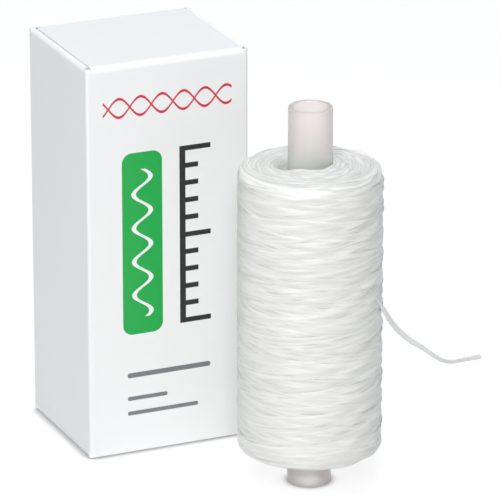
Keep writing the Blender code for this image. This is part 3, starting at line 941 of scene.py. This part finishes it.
class REFILL_OT_tuck_flaps(bpy.types.Operator):
    """Make the two tuck flaps and their folds"""

    bl_idname = "refill.tuck_flaps"
    bl_label = "Tuck flaps"

    def execute(self, context):
        carton = context.scene.refill_carton
        radius, margin, tilt = carton.tuck_fold, carton.fold_margin, carton.tuck_tilt
        width = RIGHT - LEFT - 2 * carton.tuck_inset
        down = Vector((0, -math.sin(tilt), -math.cos(tilt)))
        out = Vector((0, math.cos(tilt), -math.sin(tilt)))
        flat_end = FRONT + carton.lid_flat_end
        centre = Vector((0, flat_end, TOP - radius))
        middle = (MIDDLE.x, flat_end - margin / 2, TOP)
        crease = add_plane("top_tuck_fold", middle, (width, margin))
        edit(crease, "EDGE", lambda point: near(point.y, flat_end))
        fold(centre, (1, 0, 0), -90 - math.degrees(tilt), 10)
        extrude(down * margin)
        finish_board(crease, (0, 0, 1))

        across = Vector((MIDDLE.x, 0, 0))
        begin = across + centre + out * radius + down * margin
        length = carton.tuck_length - margin
        end = begin + down * length
        turn = (tilt - math.pi / 2, 0, 0)
        flap = add_plane("top_tuck_panel", (begin + end) / 2, (width, length), turn)
        edit(flap, "VERT", lambda point: near(point.z, end.z))
        bpy.ops.mesh.bevel(affect="VERTICES", offset=carton.tuck_corner, segments=10)
        finish_board(flap, (0, 1, 0))

        start = Vector((MIDDLE.x, flat_end, TOP))
        places = [(f"{name}_tuck_flap", f"{name}_lid", way) for name, way in ENDS]
        hang(crease, flap, start, begin, places)
        return {"FINISHED"}


class REFILL_OT_dust_flaps(bpy.types.Operator):
    """Make the four dust flaps and their folds"""

    bl_idname = "refill.dust_flaps"
    bl_label = "Dust flaps"

    def execute(self, context):
        carton = context.scene.refill_carton
        radius, margin = carton.dust_fold, carton.fold_margin
        sweep, tilt, dip = carton.dust_sweep, carton.dust_lean, carton.dust_dip
        level = TOP - carton.dust_drop
        wall_top = TOP - carton.lid_fold - margin
        near_y, far_y = FRONT + carton.lid_inset, BACK - carton.lid_inset

        # The board leaves the wall in a wide sweep, then folds tightly and dips under the lid
        bend_x = LEFT + sweep - (sweep - radius) * math.cos(tilt)
        bend_z = TOP - carton.dust_ridge - radius
        flat_top = bend_z - (sweep - radius) * math.sin(tilt)
        middle = (LEFT, (near_y + far_y) / 2, (wall_top + flat_top) / 2)
        size = (flat_top - wall_top, far_y - near_y)
        crease = add_plane("top_dust_fold_left", middle, size, (0, math.pi / 2, 0))
        edit(crease, "EDGE", lambda point: near(point.z, flat_top))
        fold((LEFT + sweep, 0, flat_top), (0, 1, 0), math.degrees(tilt), 7)
        fold((bend_x, 0, bend_z), (0, 1, 0), 90 - math.degrees(tilt - dip), 12)
        drop = bend_z + radius * math.cos(dip) - level
        extrude((drop / math.tan(dip), 0, -drop))
        extrude((margin, 0, 0))
        finish_board(crease, (-1, 0, 0))

        fold_x = bend_x + radius * math.sin(dip) + drop / math.tan(dip)
        begin_x = fold_x + margin
        reach = carton.dust_length - margin
        clear_y = FRONT + carton.lid_fold + margin + DUST_CLEARANCE
        middle_x, middle_y = begin_x + reach / 2, (clear_y + far_y) / 2
        size = (reach, far_y - clear_y)
        flap = add_plane("top_dust_panel_left", (middle_x, middle_y, level), size)
        edit(flap, "VERT", lambda point: point.x > middle_x and point.y < middle_y)
        bpy.ops.transform.translate(value=(0, DUST_TAPER * carton.dust_length, 0))
        edit(flap, "VERT", lambda point: point.y > middle_y)
        bpy.ops.transform.translate(value=(0, FRONT + DUST_END - far_y, 0))
        edit(flap, "VERT", lambda point: point.x > middle_x and point.y > middle_y + 0.002)
        bpy.ops.transform.translate(value=(0, -DUST_SLANT, 0))
        bpy.ops.mesh.bevel(affect="VERTICES", offset=DUST_CORNER, segments=4)
        finish_board(flap, (0, 0, 1))

        start = Vector((LEFT, middle_y, flat_top))
        end = Vector((fold_x, middle_y, level))
        places = [
            (f"{name}_dust_flap_{side}", "carton", way @ flip)
            for name, way in ENDS
            for side, flip in SIDES
        ]
        hang(crease, flap, start, end, places)
        return {"FINISHED"}


# Spool


def turn_profile(name, points, steps):
    """A closed solid from a closed profile of radius and height, spun about the spool's axis."""
    first = Vector((SPOOL_AXIS.x + points[0][0], SPOOL_AXIS.y, points[0][1]))
    piece = add_plane(name, first, (1e-4, 1e-4))
    draw_profile(piece, points)

    def at_end(point):
        return any(
            near(point.x - SPOOL_AXIS.x, radius) and near(point.z, height)
            for radius, height in (points[0], points[-1])
        )

    edit(piece, "VERT", at_end)
    bpy.ops.mesh.edge_face_add()
    bpy.ops.mesh.select_all(action="SELECT")
    bpy.ops.mesh.spin(steps=steps, angle=2 * math.pi, center=SPOOL_AXIS, axis=(0, 0, 1))
    bpy.ops.mesh.select_all(action="SELECT")
    bpy.ops.mesh.remove_doubles(threshold=1e-6)
    bpy.ops.mesh.normals_make_consistent(inside=False)
    deselect_all()
    return piece


def arc(centre, radius, start, end, steps):
    """Points on an arc from one angle to another, in degrees, both ends included."""
    angles = [math.radians(start + (end - start) * i / steps) for i in range(steps + 1)]
    return [(centre[0] + radius * math.cos(a), centre[1] + radius * math.sin(a)) for a in angles]


def hollow_at(spool, angle, radius):
    """Depth of the sunk place beside the tube, on the package's top."""
    off = np.angle(np.exp(1j * (angle - HOLLOW_ANGLE)))
    round_share = np.exp(-((off / HOLLOW_SPREAD) ** 2))
    out_share = np.exp(-((np.maximum(radius - spool.tube_radius, 0) / HOLLOW_REACH) ** 2))
    return spool.hollow * round_share * out_share


def bundle_lift(spool, angle, along):
    """Slow waves of the package's skin, where the floss lies in broad soft bundles."""
    chance = random.Random(SEED + 1)
    total = 0.0
    for length in WAVE_LENGTHS:
        for _ in range(2):
            slant = chance.choice((-9, -7, -6, -4, 4, 5, 7, 8))
            come_and_go = chance.choice((1, 2, 3))
            phase, other = chance.uniform(0, 6.28), chance.uniform(0, 6.28)
            wave = np.sin(2 * math.pi * along / length + slant * angle + phase)
            strength = spool.bundle_depth * length / WAVE_LENGTHS[-1]
            total = total + strength * wave * np.sin(come_and_go * angle + other)
    return total * (0.75 + 0.45 * np.cos(angle - math.radians(-40)))


def upper_skin(spool):
    """Half the straight side, the way round the upper shoulder, and on from there to the tube."""
    side = (spool.package_top - spool.package_bottom) / 2 - spool.shoulder
    reach = spool.package_radius - spool.shoulder - spool.tube_radius
    return side, spool.shoulder * math.pi / 2, reach


def on_package(spool, angle, along, lift):
    """Points on the package: angle about its axis, way along its skin from mid-height, and lift.

    The skin runs up the side, over the shoulder and in over the crowned end.
    """
    lift = lift + bundle_lift(spool, angle, along)
    shoulder = np.where(along < 0, spool.low_shoulder, spool.shoulder)
    middle = (spool.package_bottom + spool.package_top) / 2
    side = (spool.package_top - spool.package_bottom) / 2 - shoulder
    bend = shoulder * math.pi / 2
    crest = spool.package_radius - shoulder
    way = np.sign(along)
    beyond = np.abs(along) - side
    turn = np.clip(beyond / shoulder, 0, math.pi / 2)
    stretch = (crest - spool.tube_radius) / (sum(upper_skin(spool)) - side - bend)
    inward = np.maximum(beyond - bend, 0) * stretch
    share = np.clip(inward / (crest - spool.tube_radius), 0, 1)
    crown = spool.crown * (1 - np.cos(math.pi * share)) / 2
    radius = crest + (shoulder + lift) * np.cos(turn) - inward
    height = np.minimum(np.abs(along), side) + (shoulder + lift) * np.sin(turn) + crown
    height = height - np.where(way > 0, hollow_at(spool, angle, radius), 0)
    east = SPOOL_AXIS.x + radius * np.cos(angle)
    north = SPOOL_AXIS.y + radius * np.sin(angle)
    return np.stack([east, north, middle + way * height], axis=-1)


def screwed_strand(name, spool, turns, height, start_angle):
    """A long spiral of floss with an arched section, still on a plain cylinder.

    Returns the piece with, for each of its points, the angle run from the start and its place
    across and above the strand's line.
    """
    radius, width = spool.package_radius, spool.strand_width
    pitch = 4 * width
    strand = add_plane(name, (radius - height, 0, -width / 2), (1e-3, 1e-3))
    section = ((0, 0), (0.9, 0.3), (0.9, 0.7), (0, 1))
    draw_profile(strand, [(above * height, across * width) for above, across in section])
    apply_modifier(
        strand,
        "SCREW",
        axis="Z",
        angle=2 * math.pi,
        screw_offset=pitch,
        iterations=turns,
        steps=STEPS_PER_TURN,
        render_steps=STEPS_PER_TURN,
        use_smooth_shade=True,
        use_normal_calculate=True,
    )
    places = np.empty(len(strand.data.vertices) * 3)
    strand.data.vertices.foreach_get("co", places)
    east, north, up = places.reshape(-1, 3).T
    own_angle = np.arctan2(north, east)
    whole = np.round(up / pitch - own_angle / (2 * math.pi))
    run = own_angle + 2 * math.pi * whole
    across = up - pitch * run / (2 * math.pi)
    above = np.hypot(east, north) - radius
    return strand, run + start_angle, across, above


def lay_strand(strand, spool, run, across, above, along, lift, material="waxed floss"):
    """Lays a screwed strand on the package and gives it its own length and width coordinates."""
    places = on_package(spool, run, along + across, lift + above)
    strand.data.vertices.foreach_set("co", places.ravel())
    layer = strand.data.uv_layers.new(name="strand")
    corners = np.empty(len(strand.data.loops), dtype=np.int64)
    strand.data.loops.foreach_get("vertex_index", corners)
    own = np.stack([run * spool.package_radius * 1000, across / spool.strand_width], axis=-1)
    layer.data.foreach_set("uv", own[corners].ravel())
    strand.data.update()
    middle = SPOOL_AXIS + Vector((0, 0, (spool.package_bottom + spool.package_top) / 2))
    some = list(strand.data.polygons)[::97]
    if sum(face.normal.dot(face.center - middle) for face in some) < 0:
        strand.data.flip_normals()
    strand.data.materials.append(bpy.data.materials[material])
    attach(strand, "spool")


def traverse_marks(spool, chance):
    """Angle and way along the skin of each turning point of the outer winding."""
    side, bend, _ = upper_skin(spool)
    angle = 0.0
    way = -1
    marks = [(angle, way * side)]
    for _ in range(spool.traverses):
        angle += 2 * math.pi * spool.turns_per_traverse * chance.uniform(0.84, 1.18)
        way = -way
        beyond = bend * chance.uniform(0.2, 1.0) + chance.choice(OVERRUNS)
        marks.append((angle, way * (side + beyond)))
    return marks


class REFILL_OT_core_tube(bpy.types.Operator):
    """Spin the core tube with its rounded lips"""

    bl_idname = "refill.core_tube"
    bl_label = "Core tube"

    def execute(self, context):
        spool = context.scene.refill_spool
        lip = spool.lip_radius
        outer, bore = spool.tube_radius - lip, spool.bore_radius + lip
        high = spool.tube_length - lip
        profile = arc((outer, high), lip, 90, 0, 4) + arc((outer, lip), lip, 0, -90, 4)
        profile += arc((bore, lip), lip, -90, -180, 4) + arc((bore, high), lip, 180, 90, 4)
        tube = turn_profile("core_tube_walls", profile, 96)
        smooth(tube, 50)
        apply_modifier(tube, "WEIGHTED_NORMAL", keep_sharp=True)
        tube.data.materials.append(bpy.data.materials["milky tube plastic"])
        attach(tube, "spool")
        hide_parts("core_tube")
        return {"FINISHED"}


class REFILL_OT_packed_floss(bpy.types.Operator):
    """Spin the dense floss below the loose windings"""

    bl_idname = "refill.packed_floss"
    bl_label = "Packed floss"

    def execute(self, context):
        spool = context.scene.refill_spool
        depth = spool.loose_depth + PACKED_DEPTH
        end = sum(upper_skin(spool)) - PACKED_GAP
        ways = np.linspace(-end, end, PACKED_POINTS)
        level = on_package(spool, 0 * ways, ways, -depth - bundle_lift(spool, 0 * ways, ways))
        profile = np.stack([level[:, 0] - SPOOL_AXIS.x, level[:, 2]], axis=-1)
        steps = 2 * STEPS_PER_TURN
        packed = turn_profile("packed_floss", [tuple(point) for point in profile], steps)
        # Each point of the plain solid finds its place on the profile, and takes the skin's waves
        places = np.array([tuple(vert.co - SPOOL_AXIS) for vert in packed.data.vertices])
        angle = np.arctan2(places[:, 1], places[:, 0])
        radius = np.hypot(places[:, 0], places[:, 1])
        off = np.abs(radius[:, None] - profile[:, 0])
        off = off + np.abs(places[:, 2][:, None] - profile[:, 1])
        wavy = on_package(spool, angle, ways[off.argmin(axis=1)], -depth)
        packed.data.vertices.foreach_set("co", wavy.ravel())
        packed.data.update()
        smooth(packed, 50)
        packed.data.materials.append(bpy.data.materials["packed floss"])
        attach(packed, "spool")
        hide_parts("floss_inner_layers")
        return {"FINISHED"}


class REFILL_OT_outer_winding(bpy.types.Operator):
    """Wind the outer floss to and fro, and lay loose turns on the package's ends"""

    bl_idname = "refill.outer_winding"
    bl_label = "Outer winding"

    def execute(self, context):
        spool = context.scene.refill_spool
        chance = random.Random(SEED)
        marks = traverse_marks(spool, chance)
        # The last trip ends where the tail leaves the package
        exit_way = TAIL_START[2] - (spool.package_bottom + spool.package_top) / 2
        last_angle, last_way = marks[-1]
        climb = abs(exit_way - last_way) / (2 * abs(last_way)) * spool.turns_per_traverse
        reached = last_angle + 2 * math.pi * climb
        turns_left = climb + (TAIL_EXIT_ANGLE - reached) / (2 * math.pi) % 1
        leave_angle = last_angle + 2 * math.pi * turns_left
        marks.append((leave_angle, exit_way))
        turns = math.ceil(leave_angle / (2 * math.pi)) + 1
        start = leave_angle - turns * 2 * math.pi + STEP
        height = spool.strand_height
        strand, run, across, above = screwed_strand("outer_winding", spool, turns, height, start)

        grid = np.arange(start, leave_angle + 2 * STEP, STEP / 2)
        along = np.pad(np.interp(grid, *zip(*marks)), SOFTENED // 2, mode="edge")
        along = np.convolve(along, np.ones(SOFTENED) / SOFTENED, mode="valid")
        for waves in (0.37, 0.83, 1.71):
            along = along + WANDER * np.sin(grid * waves + chance.uniform(0, 2 * math.pi))
        lift = -spool.loose_depth * (1 - np.clip(grid / leave_angle, 0, 1))
        way, raised = np.interp(run, grid, along), np.interp(run, grid, lift)
        lay_strand(strand, spool, run, across, above, way, raised)
        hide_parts("floss_outer_winding")

        side, bend, reach = upper_skin(spool)
        for name, upward in (("top_end_turns", 1), ("bottom_end_turns", -1)):
            loops, run, across, above = screwed_strand(name, spool, END_TURNS, 4 * height, 0.0)
            share = run / (2 * math.pi * END_TURNS)
            way = side + bend * END_START + reach * np.clip(1 - share, 0, 1) ** END_CROWDING
            for waves, size in END_WAVES:
                way = way + size * np.sin(run * waves + chance.uniform(0, 6))
            raised = END_RISE * share - END_DEPTH
            lay_strand(loops, spool, run, across, above, upward * way, raised, "end floss")
        return {"FINISHED"}


def tail_line():
    """Evenly spread points on a smooth curve through the tail's route."""
    start = SPOOL_AXIS + Vector(TAIL_START)
    route = [start, start + Vector(TAIL_AWAY) * TAIL_FIRST_STEP]
    route += [SPOOL_AXIS + Vector(point) for point in TAIL_ROUTE]
    ends = [2 * route[0] - route[1], *route, 2 * route[-1] - route[-2]]
    fine = []
    per_span = 12
    for before, begin, end, after in zip(ends, ends[1:], ends[2:], ends[3:]):
        for i in range(per_span):
            t = i / per_span
            bend = 2 * before - 5 * begin + 4 * end - after
            twist = 3 * begin - before - 3 * end + after
            fine.append(begin + ((end - before) * t + bend * t * t + twist * t**3) / 2)
    fine.append(route[-1])
    spans = [(b - a).length for a, b in zip(fine, fine[1:])]
    along = np.concatenate([[0], np.cumsum(spans)])
    wanted = np.linspace(0, along[-1], TAIL_POINTS)
    columns = [np.interp(wanted, along, axis) for axis in np.array(fine).T]
    return [Vector(point) for point in zip(*columns)]


class REFILL_OT_tail(bpy.types.Operator):
    """Run the loose tail of flat floss off the package"""

    bl_idname = "refill.tail"
    bl_label = "Loose tail"

    def execute(self, context):
        tail = context.scene.refill_tail
        line = tail_line()
        last = len(line) - 1
        length = sum((b - a).length for a, b in zip(line, line[1:]))
        shares = np.linspace(0, 1, len(line))
        steps = np.linspace(0, 1, len(TAIL_TURNS))
        turns = np.radians(np.interp(shares, steps, TAIL_TURNS))
        spread = np.interp(shares, steps, TAIL_SPREAD)
        section = [*TAIL_SECTION, *((-across, -above) for across, above in TAIL_SECTION)]
        verts, faces, uvs = [], [], []
        for i, point in enumerate(line):
            ahead = (line[min(i + 1, last)] - line[max(i - 1, 0)]).normalized()
            up = Vector((0, 0, 1))
            standing = (up - ahead * up.dot(ahead)).normalized()
            lying = ahead.cross(standing)
            wide = standing * math.cos(turns[i]) + lying * math.sin(turns[i])
            thick = ahead.cross(wide)
            half_width = tail.width / 2 * spread[i]
            half_thick = tail.thickness / 2 * spread[i] ** 0.7
            for across, above in section:
                verts.append(point + wide * (across * half_width) + thick * (above * half_thick))
                uvs.append((1000 * length * i / last, across / 2))
        count = len(section)
        for i in range(last):
            for j in range(count):
                k = (j + 1) % count
                here, there = i * count, (i + 1) * count
                faces.append((here + j, here + k, there + k, there + j))
        faces.append(tuple(reversed(range(count))))
        faces.append(tuple(last * count + j for j in range(count)))
        mesh = bpy.data.meshes.new("loose_tail")
        mesh.from_pydata([tuple(vert) for vert in verts], [], faces)
        layer = mesh.uv_layers.new(name="strand")
        for loop in mesh.loops:
            layer.data[loop.index].uv = uvs[loop.vertex_index]
        piece = bpy.data.objects.new("loose_tail", mesh)
        context.scene.collection.objects.link(piece)
        edit(piece, "FACE", lambda point: True)
        bpy.ops.mesh.normals_make_consistent(inside=False)
        smooth(piece, 60)
        mesh.materials.append(bpy.data.materials["loose floss"])
        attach(piece, "spool")
        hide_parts("floss_tail")
        return {"FINISHED"}


# Stage


def white_for_camera(wiring):
    """1 for rays from the camera, and for those it sees in a gloss or through glass."""
    path = wiring.node("ShaderNodeLightPath").outputs
    camera, gloss, glass = (
        Signal(wiring, path[f"Is {kind} Ray"]) for kind in ("Camera", "Glossy", "Transmission")
    )
    return wiring.math("MAXIMUM", wiring.math("MAXIMUM", camera, gloss), glass)


class REFILL_OT_stage(bpy.types.Operator):
    """Set the floor, the lamps and the camera"""

    bl_idname = "refill.stage"
    bl_label = "Stage"

    def execute(self, context):
        stage = context.scene.refill_stage
        floor = add_plane("floor", (0, 0, 0), (stage.floor_size, stage.floor_size))
        paint = Finish("floor", stage.floor, 0.9)
        paint.feed("Specular IOR Level", 0.0)
        paint.feed("Emission Color", (1, 1, 1, 1))
        seen = white_for_camera(paint)
        paint.feed("Base Color", paint.mix(seen, stage.floor, stage.floor_shade))
        reach = {"Distance": stage.contact_reach}
        near_by = paint.out("ShaderNodeAmbientOcclusion", "AO", reach)
        open_share = paint.ramp(near_by, 0.42, 0.90, stage.contact_light, 1.0)
        paint.feed("Emission Strength", seen * (open_share * stage.floor_lift))
        floor.data.materials.append(paint.material)

        world = bpy.data.worlds.new("studio")
        world.use_nodes = True
        context.scene.world = world
        sky = Wiring(world.node_tree)
        background = world.node_tree.nodes["Background"].inputs
        seen = white_for_camera(sky)
        sky.set(background["Color"], sky.mix(seen, stage.sky, (1, 1, 1)))
        sky.set(background["Strength"], seen * (1 - stage.sky_strength) + stage.sky_strength)

        deselect_all()
        for name, way, power, size, colour in (
            ("key", (-0.37, -0.73, 0.57), stage.key_power, stage.key_size, stage.key),
            ("top", (-0.07, -0.12, 0.99), stage.top_power, stage.soft_size, stage.top),
            ("front", (-0.63, -0.75, 0.17), stage.front_power, stage.soft_size, stage.key),
        ):
            away = Vector(way).normalized()
            bpy.ops.object.light_add(type="AREA", location=LAMP_TARGET + away)
            lamp = context.object
            lamp.name = name
            lamp.rotation_euler = (-away).to_track_quat("-Z", "Y").to_euler()
            lamp.data.energy = power
            lamp.data.size = size
            lamp.data.color = colour

        turn = (math.pi / 2 - CAMERA_ELEVATION, 0, CAMERA_AZIMUTH)
        back = Matrix.Rotation(CAMERA_AZIMUTH, 3, "Z") @ Vector(
            (0, -math.cos(CAMERA_ELEVATION), math.sin(CAMERA_ELEVATION))
        )
        place = CAMERA_TARGET + back * stage.camera_distance
        bpy.ops.object.camera_add(location=place, rotation=turn)
        camera = context.object
        camera.data.sensor_width = 36
        camera.data.lens = stage.camera_lens
        camera.data.clip_start = 0.01
        camera.data.clip_end = 50
        context.scene.camera = camera
        context.scene.view_settings.view_transform = "Standard"
        return {"FINISHED"}


OPERATORS = (
    REFILL_OT_stage,
    REFILL_OT_materials,
    REFILL_OT_tail,
    REFILL_OT_sleeve,
    REFILL_OT_lids,
    REFILL_OT_tuck_flaps,
    REFILL_OT_dust_flaps,
    REFILL_OT_core_tube,
    REFILL_OT_packed_floss,
    REFILL_OT_outer_winding,
)


class REFILL_PT_panel(bpy.types.Panel):
    """Lists the steps that build the floss refill"""

    bl_idname = "REFILL_PT_panel"
    bl_label = "Floss refill"
    bl_space_type = "VIEW_3D"
    bl_region_type = "UI"
    bl_category = "Floss refill"

    def draw(self, context):
        for operator in OPERATORS:
            self.layout.operator(operator.bl_idname)


SETTINGS = {
    "refill_carton": CartonSettings,
    "refill_spool": SpoolSettings,
    "refill_tail": TailSettings,
    "refill_stage": StageSettings,
}


def register():
    for name, group in SETTINGS.items():
        bpy.utils.register_class(group)
        setattr(bpy.types.Scene, name, bpy.props.PointerProperty(type=group))
    for operator in OPERATORS:
        bpy.utils.register_class(operator)
    bpy.utils.register_class(REFILL_PT_panel)


def unregister():
    bpy.utils.unregister_class(REFILL_PT_panel)
    for operator in reversed(OPERATORS):
        bpy.utils.unregister_class(operator)
    for name, group in SETTINGS.items():
        delattr(bpy.types.Scene, name)
        bpy.utils.unregister_class(group)


def main():
    register()
    bpy.ops.refill.stage()
    bpy.ops.refill.materials()
    bpy.ops.refill.tail()
    bpy.ops.refill.sleeve()
    bpy.ops.refill.lids()
    bpy.ops.refill.tuck_flaps()
    bpy.ops.refill.dust_flaps()
    bpy.ops.refill.core_tube()
    bpy.ops.refill.packed_floss()
    bpy.ops.refill.outer_winding()


if __name__ == "__main__":
    main()
